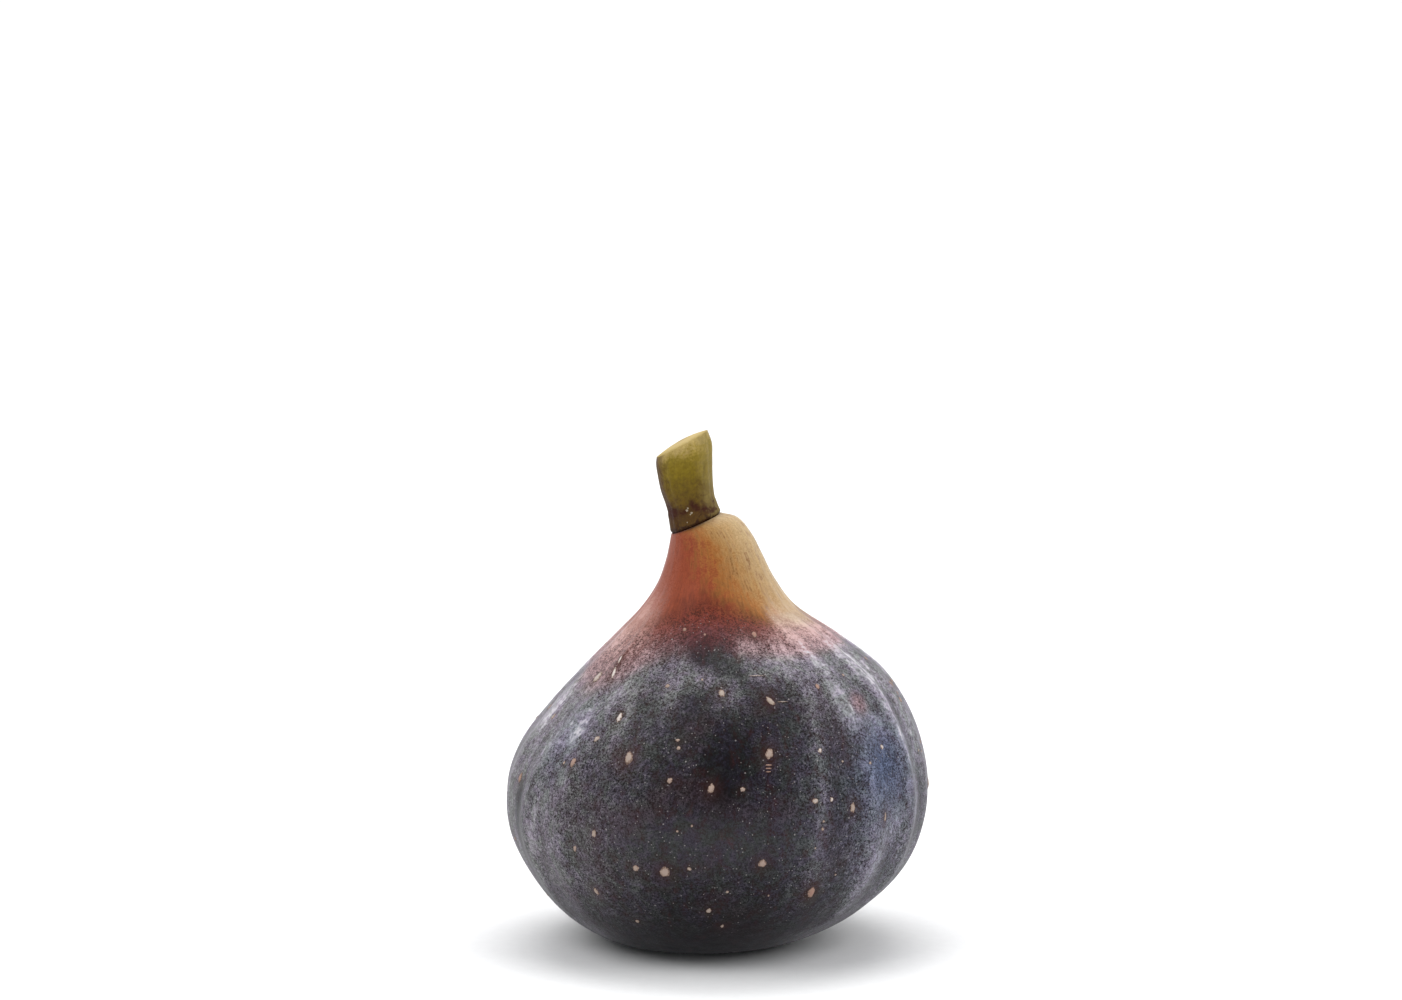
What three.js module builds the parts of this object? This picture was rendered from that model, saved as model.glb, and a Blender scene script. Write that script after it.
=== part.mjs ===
// A fresh purple fig, standing on the flattened end that holds its eye, with its cut stalk on top.
// Millimetres, +Z up. The fig's front faces -Y and its fuller shoulder is towards +X.
// The origin lies on the plane it stands on, under the middle of its girth.
import * as THREE from 'three';

// Every row is one ring around the piece, from bottom to top:
// [left x, left z, right x, right z] where the ring crosses the plane y = 0.
const FRUIT_ROWS = [
  [-11.4, 0.0, 6.8, 0.0],
  [-15.2, 1.3, 12.2, 1.3],
  [-19.5, 4.4, 17.6, 4.2],
  [-22.9, 9.0, 22.0, 8.4],
  [-25.2, 14.2, 24.6, 13.2],
  [-25.5, 19.4, 25.7, 18.8],
  [-23.7, 24.4, 24.9, 24.4],
  [-20.1, 29.2, 22.9, 29.4],
  [-15.9, 33.8, 19.7, 33.8],
  [-12.0, 37.8, 14.5, 37.8],
  [-9.1, 41.0, 9.6, 41.2],
  [-7.2, 44.0, 7.1, 44.6],
  [-6.2, 46.8, 5.6, 47.6],
  [-5.8, 48.5, 4.3, 50.1],
  [-5.6, 49.6, 2.6, 52.1],
  [-5.5, 50.1, 0.5, 52.7],
];

// The stalk's rings above its base. The base itself follows the seat on top of the fruit.
const STALK_ROWS = [
  [-5.8, 52.2, -0.1, 54.1],
  [-6.2, 53.8, -0.4, 55.7],
  [-6.8, 55.6, -0.5, 57.6],
  [-7.2, 57.6, -0.5, 59.6],
  [-7.35, 58.7, -0.55, 61.3],
  [-7.3, 59.5, -1.1, 62.8],
];
const STALK_GAP = 0.3; // between the seat and the stalk's base
const CUT_BULGE = 0.5; // how far the middle of the cut end stands proud

const FRUIT_DEPTH = 0.98; // front-to-back size as a share of the width
const STALK_DEPTH = 0.95;

// The eye is a shallow hollow in the middle of the foot.
const EYE_DEPTH = 0.9;
const EYE_FLOOR_RADIUS = 1.3;
const EYE_RIM_RADIUS = 2.2;

// The veins under the skin raise low ribs. Each is [angle from the front towards +X in degrees, height].
const RIBS = [
  [-80, 0.30], [-63, 0.34], [-47, 0.30], [-34, 0.24], [-20, 0.20], [-7, 0.14],
  [5, 0.12], [16, 0.20], [28, 0.42], [45, 0.50], [62, 0.55], [78, 0.45],
  [94, 0.40], [110, 0.36], [125, 0.34], [140, 0.30], [155, 0.30], [171, 0.28],
  [-173, 0.26], [-158, 0.30], [-143, 0.32], [-127, 0.34], [-112, 0.32], [-96, 0.32],
];
const RIB_WIDTH = 4.6; // degrees from a rib's crest to where it has fallen to a third
const RIBS_START = 2; // height over which the ribs grow out of the foot
const RIBS_FULL = 15;
const RIBS_FADE = 34; // height over which they sink into the neck
const RIBS_END = 50;
const RIBS_LEFT_ON_NECK = 0.1; // share of a rib's height that the neck keeps

const FRUIT_SIDES = 120;
const FRUIT_STEPS = 28;
const STALK_SIDES = 40;
const STALK_STEPS = 10;

// One side of the outline, as a smooth curve through its points.
function sideCurve(rows, column) {
  const points = rows.map((row) => new THREE.Vector3(row[column], 0, row[column + 1]));
  return new THREE.CatmullRomCurve3(points, false, 'catmullrom');
}

// A ring with its ends at left and right. Its angle runs from the front (-Y) towards the right (+X).
function ring(left, right, sides, depth, swell) {
  const middle = left.clone().add(right).multiplyScalar(0.5);
  const across = right.clone().sub(middle);
  const radius = across.length();
  const points = [];
  for (let side = 0; side < sides; side += 1) {
    const angle = (side / sides) * 2 * Math.PI;
    const scale = 1 + swell(angle, middle.z) / radius;
    const point = middle.clone().addScaledVector(across, Math.sin(angle) * scale);
    point.y -= radius * depth * Math.cos(angle) * scale;
    points.push(point);
  }
  return points;
}

function loft(rows, steps, sides, depth, swell) {
  const left = sideCurve(rows, 0);
  const right = sideCurve(rows, 2);
  const rings = [];
  for (let step = 0; step <= steps; step += 1) {
    const along = step / steps;
    rings.push(ring(left.getPoint(along), right.getPoint(along), sides, depth, swell));
  }
  return rings;
}

function centreOf(points) {
  const sum = new THREE.Vector3();
  points.forEach((point) => sum.add(point));
  return sum.divideScalar(points.length);
}

// Joins the rings from bottom to top and closes both ends on a point.
function closedSkin(rings, bottom, top) {
  const sides = rings[0].length;
  const points = [bottom, ...rings.flat(), top];
  const topIndex = points.length - 1;
  const lastRing = topIndex - sides;
  const faces = [];
  for (let side = 0; side < sides; side += 1) {
    const next = (side + 1) % sides;
    faces.push(0, 1 + next, 1 + side);
    faces.push(topIndex, lastRing + side, lastRing + next);
    for (let level = 0; level < rings.length - 1; level += 1) {
      const lower = 1 + level * sides;
      const upper = lower + sides;
      faces.push(lower + side, lower + next, upper + next);
      faces.push(lower + side, upper + next, upper + side);
    }
  }
  const geometry = new THREE.BufferGeometry().setFromPoints(points);
  geometry.setIndex(faces);
  geometry.computeVertexNormals();
  return geometry;
}

// How far the ribs lift the skin at an angle (radians) and a height.
function ribLift(angle, height) {
  const degrees = THREE.MathUtils.radToDeg(angle);
  const grown = THREE.MathUtils.smoothstep(height, RIBS_START, RIBS_FULL);
  const faded = THREE.MathUtils.smoothstep(height, RIBS_FADE, RIBS_END);
  const share = grown * (1 - (1 - RIBS_LEFT_ON_NECK) * faded);
  let lift = 0;
  RIBS.forEach(([crest, size]) => {
    const away = THREE.MathUtils.euclideanModulo(degrees - crest + 180, 360) - 180;
    lift += size * Math.exp(-((away / RIB_WIDTH) ** 2));
  });
  return lift * share;
}

function noLift() {
  return 0;
}

function fruitMaterial() {
  return new THREE.MeshStandardMaterial({ color: 0x3f3c48, roughness: 0.6, metalness: 0 });
}

function stalkMaterial() {
  return new THREE.MeshStandardMaterial({ color: 0x79682a, roughness: 0.75, metalness: 0 });
}

// Skin, neck and eye grow as one body: a pear shape with a flat foot and a tilted seat for the stalk.
function makeFruit() {
  const body = loft(FRUIT_ROWS, FRUIT_STEPS, FRUIT_SIDES, FRUIT_DEPTH, ribLift);
  const footCentre = centreOf(body[0]);
  const eyeRing = (radius, height) => {
    const reach = new THREE.Vector3(radius, 0, 0);
    const middle = footCentre.clone().setZ(height);
    return ring(middle.clone().sub(reach), middle.clone().add(reach), FRUIT_SIDES, 1, noLift);
  };
  const rings = [eyeRing(EYE_FLOOR_RADIUS, EYE_DEPTH), eyeRing(EYE_RIM_RADIUS, 0), ...body];
  const eyeFloor = footCentre.clone().setZ(EYE_DEPTH);
  const mesh = new THREE.Mesh(closedSkin(rings, eyeFloor, centreOf(body.at(-1))), fruitMaterial());
  mesh.name = 'fruit';
  return mesh;
}

// The seat's outline, lifted off it by the gap: this is the stalk's base.
function stalkBase() {
  const [leftX, leftZ, rightX, rightZ] = FRUIT_ROWS.at(-1);
  const lift = new THREE.Vector2(leftZ - rightZ, rightX - leftX).setLength(STALK_GAP);
  return [leftX + lift.x, leftZ + lift.y, rightX + lift.x, rightZ + lift.y];
}

// A short stub that leans to the left, widens upwards and ends in a slanting cut.
function makeStalk() {
  const rings = loft([stalkBase(), ...STALK_ROWS], STALK_STEPS, STALK_SIDES, STALK_DEPTH, noLift);
  const cutMiddle = centreOf(rings.at(-1));
  cutMiddle.z += CUT_BULGE;
  const mesh = new THREE.Mesh(closedSkin(rings, centreOf(rings[0]), cutMiddle), stalkMaterial());
  mesh.name = 'stalk';
  return mesh;
}

const fig = new THREE.Group();
fig.add(makeFruit(), makeStalk());

export default fig;
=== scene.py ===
# %% [markdown]
# # A fresh fig, standing on its end
#
# A ripe purple fig is a closed, pear-shaped fruit. It stands on the flattened end that holds its eye,
# and a short stub of its stalk, cut slantwise, is still on top. Low ribs run from the neck to the foot,
# where veins lie under the skin.
#
# This lesson makes the fruit, its lenticels, its eye and its stalk as surfaces worked out with numpy,
# gives each a finish made of nodes, and lights the fig on a pale floor. Lengths are written in
# millimetres and turned into metres at the end of each shape.

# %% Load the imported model
import math

import bpy
import numpy as np
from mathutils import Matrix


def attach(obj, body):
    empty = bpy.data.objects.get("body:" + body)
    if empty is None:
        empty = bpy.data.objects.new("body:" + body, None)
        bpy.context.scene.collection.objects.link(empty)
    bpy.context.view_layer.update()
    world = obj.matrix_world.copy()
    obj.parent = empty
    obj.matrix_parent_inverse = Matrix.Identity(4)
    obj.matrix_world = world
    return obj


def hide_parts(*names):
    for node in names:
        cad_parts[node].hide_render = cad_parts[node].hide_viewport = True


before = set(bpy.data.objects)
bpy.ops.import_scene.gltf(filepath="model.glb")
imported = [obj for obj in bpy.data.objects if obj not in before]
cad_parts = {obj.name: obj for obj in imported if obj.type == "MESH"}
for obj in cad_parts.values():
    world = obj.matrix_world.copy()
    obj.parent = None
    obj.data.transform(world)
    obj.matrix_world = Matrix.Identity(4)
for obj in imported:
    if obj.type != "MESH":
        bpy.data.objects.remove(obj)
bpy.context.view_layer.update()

MM = 0.001
scene = bpy.context.scene

# %% [markdown]
# ## The camera
#
# The fig is seen from a little above its middle, with a long lens, so its two sides look almost
# parallel. The lens isn't shifted: the camera looks slightly over the fig's middle instead, which
# leaves more room above the stalk than below the foot.

# %% Place the camera
LENS = 85.0
CAMERA_DISTANCE = 408 * MM
CAMERA_HEIGHT_ANGLE = math.radians(10.0)
LOOKED_AT = np.array([0.0, 0.0, 24.0]) * MM
AIM_UP = math.radians(4.23)
AIM_LEFT = math.radians(0.27)


def add_to_scene(name, data):
    """An object of the scene that holds a mesh, a lamp or a camera."""
    thing = bpy.data.objects.new(name, data)
    scene.collection.objects.link(thing)
    return thing


def make_camera():
    """Puts the camera on a ray that rises from the looked-at point towards the front, then turns it."""
    data = bpy.data.cameras.new("camera")
    data.lens = LENS
    camera = add_to_scene("camera", data)
    back = np.array([0.0, -math.cos(CAMERA_HEIGHT_ANGLE), math.sin(CAMERA_HEIGHT_ANGLE)])
    camera.location = LOOKED_AT + CAMERA_DISTANCE * back
    pitch = math.radians(90) - CAMERA_HEIGHT_ANGLE + AIM_UP
    camera.rotation_euler = (pitch, 0.0, AIM_LEFT)
    scene.camera = camera


make_camera()

# %% [markdown]
# ## Helpers for surfaces
#
# Most pieces here are closed tubes of changing section: a grid whose rows are rings from bottom to
# top. The fig isn't turned on a lathe, because its two sides differ. Each ring is laid between a point
# on the left outline and a point on the right one, so it tilts and shifts by itself. The outlines are
# smooth curves through a few chosen points.

# %% Curves, rings and grids


def curve_through(rows, along):
    """A smooth curve through the rows (Catmull-Rom), at shares of its length from 0 to 1.

    Between two rows it is the cubic that passes both with a slope of half the step from the row
    before to the row after. The ends are continued straight.
    """
    rows = np.asarray(rows, dtype=float)
    padded = np.vstack([2 * rows[0] - rows[1], rows, 2 * rows[-1] - rows[-2]])
    stretches = len(rows) - 1
    where = np.clip(along, 0, 1) * stretches
    first = np.minimum(where.astype(int), stretches - 1)
    u = (where - first)[..., None]
    before, start, end, after = (padded[first + step] for step in range(4))
    bend = 2 * before - 5 * start + 4 * end - after
    twist = 3 * start - before - 3 * end + after
    return 0.5 * (2 * start + (end - before) * u + bend * u ** 2 + twist * u ** 3)


def smooth_step(value, low, high):
    """Rises from 0 at low to 1 at high along 3t^2 - 2t^3, and stays level outside."""
    t = np.clip((value - low) / (high - low), 0, 1)
    return t * t * (3 - 2 * t)


def turned_away(angle, centre):
    """How far an angle is from another, in degrees, between -180 and 180."""
    return (angle - centre + 180) % 360 - 180


def ring_points(left, right, angle, depth, lift=0.0):
    """Points on rings laid between left and right points of the plane y = 0, each given as x, z.

    The angle is in degrees from the front (-Y) towards the right (+X). The ring's middle is halfway
    between the sides. A point is the middle plus sine of the angle times the half width across, and
    minus cosine of the angle times the half width times depth along Y. Lift moves it outwards.
    """
    turn = np.radians(angle)
    middle = (left + right) / 2
    across = (right - left) / 2
    radius = np.linalg.norm(across, axis=-1)
    scale = 1 + lift / radius
    x = middle[..., 0] + across[..., 0] * np.sin(turn) * scale
    y = -radius * depth * np.cos(turn) * scale
    z = middle[..., 1] + across[..., 1] * np.sin(turn) * scale
    return np.stack([x, y, z], axis=-1)


def surface_normals(surface, first, second, step):
    """Outward unit normals of a surface of two parameters, from the cross product of its slopes."""
    slope_first = surface(first + step, second) - surface(first - step, second)
    slope_second = surface(first, second + step) - surface(first, second - step)
    normals = np.cross(slope_first, slope_second)
    return normals / np.linalg.norm(normals, axis=-1, keepdims=True)


def ring_grid_faces(rings, sides):
    """Quads that join each ring of a closed tube to the next, as vertex numbers."""
    ring = np.arange(rings - 1)[:, None]
    side = np.arange(sides)[None, :]
    following = (side + 1) % sides
    lower, upper = ring * sides, (ring + 1) * sides
    corners = [lower + side, lower + following, upper + following, upper + side]
    return np.stack(corners, axis=-1).reshape(-1, 4)


def fan_faces(ring_start, sides, pole, upwards):
    """Triangles that close a ring on one pole vertex, wound to face up or down."""
    side = np.arange(sides) + ring_start
    following = (np.arange(sides) + 1) % sides + ring_start
    middle = np.full(sides, pole)
    order = [side, following, middle] if upwards else [following, side, middle]
    return np.stack(order, axis=-1)


def tube_parts(rings, sides, outward=True):
    """Faces of a closed tube: its wall, then the fans that close its first and its last ring.

    Two pole vertices come after the rings, the first ring's and then the last ring's. Where the rings
    run the other way round, outward is false and every face is wound backwards.
    """
    first_pole = rings * sides
    wall = ring_grid_faces(rings, sides)
    first = fan_faces(0, sides, first_pole, not outward)
    last = fan_faces(first_pole - sides, sides, first_pole + 1, outward)
    return wall if outward else wall[:, ::-1], first, last


def faces_of_copies(copies, points_each, *parts):
    """The faces of one form, repeated for copies whose vertices follow one another."""
    starts = np.arange(copies)[:, None, None] * points_each
    faces = []
    for part in parts:
        faces += (part + starts).reshape(-1, part.shape[1]).tolist()
    return faces


def smooth_mesh(name, points, faces, materials):
    """A smooth-shaded mesh from points in millimetres, added to the scene as an object."""
    mesh = bpy.data.meshes.new(name)
    mesh.from_pydata((np.reshape(points, (-1, 3)) * MM).tolist(), [], faces)
    mesh.shade_smooth()
    for material in materials:
        mesh.materials.append(material)
    return add_to_scene(name, mesh)


def new_piece(name, points, faces, body, nodes, materials):
    """A smooth mesh, hung on the empty of its body, that hides the imported parts it replaces."""
    piece = smooth_mesh(name, points, faces, materials)
    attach(piece, body)
    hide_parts(*nodes)
    print(f"{name}: {len(piece.data.vertices)} vertices, {len(piece.data.polygons)} faces")
    return piece


def set_values(piece, name, values):
    """Stores one number, or one vector, per vertex for a material to read by name."""
    values = np.asarray(values, dtype=np.float32)
    size = len(piece.data.vertices)
    if values.size == size:
        piece.data.attributes.new(name, "FLOAT", "POINT").data.foreach_set("value", values.ravel())
    else:
        layer = piece.data.attributes.new(name, "FLOAT_VECTOR", "POINT")
        layer.data.foreach_set("vector", values.ravel())


# %% [markdown]
# ## The shape of the fruit
#
# The outlines below are the same as those of the construction model: a flat foot about 18 mm across,
# the widest girth at 19 mm, sloping shoulders and a short neck whose top tilts to the left. The skin is
# addressed like a map: the angle round the fruit, and the distance along the skin up from the
# foot's edge. That makes it easy to say where a mark or a tint is.

# %% The fruit's outline and map
FRUIT_ROWS = np.array([
    [-11.4, 0.0, 6.8, 0.0],
    [-15.2, 1.3, 12.2, 1.3],
    [-19.5, 4.4, 17.6, 4.2],
    [-22.9, 9.0, 22.0, 8.4],
    [-25.2, 14.2, 24.6, 13.2],
    [-25.5, 19.4, 25.7, 18.8],
    [-23.7, 24.4, 24.9, 24.4],
    [-20.1, 29.2, 22.9, 29.4],
    [-15.9, 33.8, 19.7, 33.8],
    [-12.0, 37.8, 14.5, 37.8],
    [-9.1, 41.0, 9.6, 41.2],
    [-7.2, 44.0, 7.1, 44.6],
    [-6.2, 46.8, 5.6, 47.6],
    [-5.8, 48.5, 4.3, 50.1],
    [-5.6, 49.6, 2.6, 52.1],
    [-5.5, 50.1, 0.5, 52.7],
])
FRUIT_DEPTH = 0.98
FOOT_CENTRE = (FRUIT_ROWS[0, 0] + FRUIT_ROWS[0, 2]) / 2
FOOT_RADIUS = (FRUIT_ROWS[0, 2] - FRUIT_ROWS[0, 0]) / 2

# Distances along the skin are measured once, halfway between the two sides.
SHARES = np.linspace(0, 1, 4001)
OUTLINE = curve_through(FRUIT_ROWS, SHARES)
STEP_LENGTHS = np.linalg.norm(np.diff(OUTLINE.reshape(-1, 2, 2), axis=0), axis=2).mean(axis=1)
DISTANCES = np.concatenate([[0.0], np.cumsum(STEP_LENGTHS)])
SKIN_LENGTH = DISTANCES[-1]
print(f"skin from the foot's edge to the seat: {SKIN_LENGTH:.1f} mm")

# %% [markdown]
# ## Ribs
#
# Each rib is a low ridge over a vein. It has a crest that wanders a few degrees between the shoulder
# and the foot, a height, and a width. The ribs are strongest on the fuller right shoulder, weak on the
# front, and fade into the neck and the foot. Thinner veins between them only roughen the skin.

# %% The ribs' crests
# Each row: angle low on the fruit, angle at the shoulder, height in mm, half width in degrees.
RIBS = np.array([
    [-80, -78, 0.30, 4.5],
    [-64, -56, 0.42, 4.0],
    [-47, -44, 0.30, 4.5],
    [-34, -34, 0.22, 4.5],
    [-20, -20, 0.20, 4.5],
    [-7, -8, 0.12, 4.5],
    [5, 5, 0.10, 4.5],
    [15, 13, 0.14, 4.0],
    [29, 28, 0.36, 4.2],
    [48, 44, 0.45, 4.6],
    [65, 62, 0.60, 4.0],
    [79, 78, 0.45, 4.2],
    [93, 96, 0.46, 4.8],
    [109, 108, 0.32, 4.2],
    [127, 123, 0.44, 5.0],
    [139, 142, 0.26, 4.2],
    [157, 153, 0.42, 5.0],
    [169, 173, 0.26, 4.2],
    [-172, -176, 0.34, 4.6],
    [-161, -155, 0.42, 5.0],
    [-142, -144, 0.28, 4.2],
    [-129, -125, 0.44, 5.0],
    [-111, -114, 0.30, 4.2],
    [-97, -94, 0.40, 4.8],
])
LOW, SHOULDER = 18.0, 44.0  # distances up the skin where the two crest angles hold


def rib_crests(angle, distance):
    """Sum of one bell curve per rib, with the ribs' heights in millimetres, before they fade."""
    drift = smooth_step(distance, LOW, SHOULDER)
    total = np.zeros(np.broadcast(angle, distance).shape)
    for low_angle, shoulder_angle, height, width in RIBS:
        crest = low_angle + (shoulder_angle - low_angle) * drift
        total += height * np.exp(-(turned_away(angle, crest) / width) ** 2)
    return total


def rib_share(distance):
    """How much of a rib is left: none at the foot, all on the girth, a tenth on the neck."""
    return smooth_step(distance, 6, 22) * (1 - 0.9 * smooth_step(distance, 48, 62))


def fruit_surface(angle, distance):
    """The skin's point at an angle in degrees and a distance up the skin in millimetres.

    Rings between the two outlines, lifted by what is left of the ribs there.
    """
    angle, distance = np.broadcast_arrays(angle, distance)
    share = np.interp(distance, DISTANCES, SHARES)
    outline = curve_through(FRUIT_ROWS, share)
    lift = rib_crests(angle, distance) * rib_share(distance)
    return ring_points(outline[..., :2], outline[..., 2:], angle, FRUIT_DEPTH, lift)


def girth_width(distance):
    """How wide the fruit is from side to side, in millimetres: the gap between its two flanks."""
    return np.linalg.norm(fruit_surface(90.0, distance) - fruit_surface(-90.0, distance), axis=-1)


# %% [markdown]
# ## Marks on the skin
#
# Lenticels are pale corky pores. The chosen ones below are on the front and the visible flanks, with
# a few fine scratches among them, which are made as very short or narrow lenticels. The rest of the
# skin gets random ones from a fixed seed. They are needed before the skin, because each has a halo.

# %% Lenticels
# Each row: angle, distance up the skin, length along the skin, width, lean in degrees, and colour: 0 is
# cork, 1 is rosy and -1 is almost white.
FRONT_LENTICELS = np.array([
    [-28.0, 34.9, 1.9, 1.2, -20, 0.1],
    [-14.0, 32.5, 0.8, 0.8, 0, 0.3],
    [-14.0, 36.5, 0.6, 0.6, 0, 0.2],
    [-15.0, 37.5, 0.5, 0.6, 0, 0.2],
    [-2.5, 31.7, 1.4, 0.9, 0, 0.3],
    [-4.0, 43.9, 1.4, 0.8, -12, -0.2],
    [-12.0, 45.8, 0.5, 0.4, 0, 0.0],
    [-25.5, 44.6, 0.7, 0.7, 0, 0.2],
    [-38.0, 39.8, 1.6, 0.8, -15, -0.8],
    [-42.0, 36.8, 0.9, 0.8, 0, -0.3],
    [-46.0, 33.5, 1.3, 1.0, 0, 0.5],
    [-50.0, 33.2, 0.6, 0.5, 0, 0.1],
    [-33.5, 25.4, 1.2, 0.7, 10, 0.1],
    [-40.5, 23.0, 1.0, 0.6, 5, 0.3],
    [-21.3, 21.6, 0.9, 1.0, 0, 0.2],
    [-13.2, 21.4, 1.5, 1.5, 0, 0.2],
    [-6.5, 22.0, 0.6, 0.6, 0, 0.0],
    [-36.5, 17.4, 1.3, 0.8, -10, 0.1],
    [-25.0, 13.0, 0.7, 0.7, 0, 0.1],
    [-1.0, 15.8, 1.0, 0.7, 5, 0.0],
    [-6.5, 27.3, 0.4, 0.4, 0, 0.3],
    [-10.2, 26.6, 0.4, 0.4, 0, 0.3],
    [-64.0, 44.3, 1.9, 1.6, -15, -0.4],
    [-54.2, 45.6, 2.6, 0.50, -22, -0.8],
    [-56.2, 47.7, 1.7, 0.45, -14, -0.8],
    [-71.0, 29.7, 1.5, 1.2, 0, 0.6],
    [-24.0, 53.7, 0.8, 0.6, 0, 0.9],
    [-11.0, 53.0, 0.5, 0.4, 0, 0.8],
    [13.5, 42.7, 1.7, 0.8, -42, 0.0],
    [10.0, 46.4, 0.16, 2.2, 0, -0.5],
    [18.0, 42.5, 0.15, 1.7, 4, -0.5],
    [12.8, 35.8, 1.6, 1.1, 0, 0.2],
    [12.8, 34.4, 0.24, 1.0, 0, 0.8],
    [12.8, 34.0, 0.22, 0.9, 0, 0.8],
    [12.8, 33.6, 0.20, 0.7, 0, 0.8],
    [6.0, 31.6, 0.7, 0.7, 0, 0.1],
    [28.3, 35.8, 0.7, 0.7, 0, -0.8],
    [36.0, 34.1, 0.4, 0.4, 0, 0.0],
    [45.3, 33.5, 0.5, 0.5, 0, 0.0],
    [53.0, 35.0, 0.7, 0.8, 10, -0.6],
    [26.0, 29.9, 0.8, 0.9, 0, -0.4],
    [31.0, 29.9, 0.6, 0.7, 0, -0.7],
    [38.2, 28.6, 1.5, 0.8, 0, 0.1],
    [50.3, 26.9, 1.5, 0.5, 0, 0.1],
    [28.5, 27.5, 0.4, 0.4, 0, 0.1],
    [28.4, 26.6, 0.5, 0.5, 0, 0.2],
    [27.0, 24.4, 0.4, 0.3, 0, 0.0],
    [12.8, 22.8, 1.2, 1.1, 0, 0.3],
    [29.0, 18.3, 2.0, 1.1, -15, 0.8],
    [4.0, 18.9, 0.5, 0.5, 0, 0.0],
    [4.0, 12.9, 0.8, 0.5, 0, 0.1],
    [16.0, 18.2, 0.4, 0.4, 0, 0.0],
    [36.0, 20.5, 0.4, 0.4, 0, 0.0],
    [33.8, 44.3, 0.9, 0.7, 0, 0.7],
    [50.0, 45.4, 0.6, 0.5, 0, 0.1],
    [18.7, 52.9, 1.2, 0.7, 15, 0.9],
])
HIDDEN_LENTICELS, LENTICEL_SEED = 90, 11


def hidden_lenticels():
    """Random lenticels for the sides and back, in the same ranges as the chosen ones."""
    rng = np.random.default_rng(LENTICEL_SEED)
    angle = rng.uniform(72, 288, HIDDEN_LENTICELS)
    distance = rng.uniform(12, 50, HIDDEN_LENTICELS)
    length = 0.4 + 1.4 * rng.power(0.6, HIDDEN_LENTICELS) * rng.uniform(0.4, 1, HIDDEN_LENTICELS)
    width = length * rng.uniform(0.5, 1, HIDDEN_LENTICELS)
    lean = rng.uniform(-15, 15, HIDDEN_LENTICELS)
    rosy = rng.uniform(0, 0.6, HIDDEN_LENTICELS)
    return np.stack([angle, distance, length, width, lean, rosy], axis=-1)


LENTICELS = np.concatenate([FRONT_LENTICELS, hidden_lenticels()])
print(f"{len(LENTICELS)} lenticels, {len(FRONT_LENTICELS)} of them placed by hand")

# %% [markdown]
# ## Tints of the skin
#
# A fig ripens from its foot upwards. The neck stays ochre and cream, with a rosy flush on its left
# side, then turns brick red and burgundy, and below the shoulder the skin is purple-black. Over it
# lies a bloom of pale wax, thick on the shoulders and along the ribs, and thin on the front. The same
# layer carries painted light: a sheen on the flanks, highlights on the ribs and shoulders, and a
# reflection of the floor low on the flanks, while painted shade darkens the front's middle and the
# foot. Underneath, a red flush is left round the eye. Painting all this on an image would tie it to
# one resolution, so each tint is a number for every vertex instead, worked out from the map.

# %% Tint maps


def patch(angle, distance, at_angle, at_distance, half_angle, half_distance):
    """A soft oval patch: the bell curve of both offsets, each as a share of its half width."""
    across = turned_away(angle, at_angle) / half_angle
    along = (distance - at_distance) / half_distance
    return np.exp(-across ** 2 - along ** 2)


# The change of colour. Each row: angle, distance below which the skin is dark, distance above which it is
# still unripe.
RIPENING = np.array([
    [-180, 48, 60],
    [-110, 46, 59],
    [-75, 40, 58],
    [-60, 38.5, 59.5],
    [-48, 41.5, 60],
    [-40, 44.5, 60],
    [-25, 47, 61],
    [-8, 47.5, 62],
    [5, 47, 61],
    [20, 47, 60],
    [35, 47, 58],
    [75, 48, 57],
    [115, 48, 59],
    [180, 48, 60],
])


def ripeness(angle, distance):
    """0 on the unripe neck, 1 where the skin is purple-black, with a long soft change between.

    Underneath, within a few millimetres of the eye, the skin stays red, and so does a small blush on
    the right shoulder.
    """
    turn = turned_away(angle, 0)
    dark, unripe = (np.interp(turn, RIPENING[:, 0], RIPENING[:, part]) for part in (1, 2))
    eye_flush = 0.62 * smooth_step(-distance, 3.0, 8.0)
    blush = 0.2 * patch(angle, distance, 49, 41.2, 4.5, 1.6)
    return 1 - smooth_step(distance, dark, unripe) - eye_flush - blush


def sunniness(angle, distance):
    """0 on the neck's rosy left, 1 on its cream-yellow right. Higher up, the yellow reaches further.

    The angle from the sunny side is folded back behind the fig, so the tints meet there without a border.
    """
    turn = turned_away(angle, 18)
    folded = np.sign(turn) * np.minimum(np.abs(turn), 1.5 * (180 - np.abs(turn)))
    return smooth_step(folded + 3.5 * (distance - 63), -75, 75)


def blueness(angle, distance):
    """Where the dark skin and its wax turn blue: a broad patch on the right, and a faint flush round it."""
    strong = 0.75 * patch(angle, distance, 52, 33, 10, 5) + 0.45 * patch(angle, distance, -140, 31, 14, 7)
    faint = 0.25 * patch(angle, distance, 50, 28, 28, 14) + 0.22 * patch(angle, distance, -54, 36, 9, 5)
    return strong + faint + 0.20 * patch(angle, distance, 150, 34, 26, 12)


# The bloom's usual thickness round the fig, thin on the front and thick on the flanks: partly real wax
# and partly a painted sheen where the flanks turn away. Each row: angle, amount.
BLOOM_AND_SHEEN_ROUND = np.array([
    [-180, 0.34],
    [-120, 0.42],
    [-84, 0.52],
    [-70, 0.44],
    [-60, 0.38],
    [-50, 0.30],
    [-40, 0.19],
    [-28, 0.10],
    [-14, 0.02],
    [16, 0.02],
    [24, 0.08],
    [36, 0.08],
    [46, 0.26],
    [58, 0.27],
    [68, 0.40],
    [84, 0.46],
    [120, 0.40],
    [180, 0.34],
])
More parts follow.
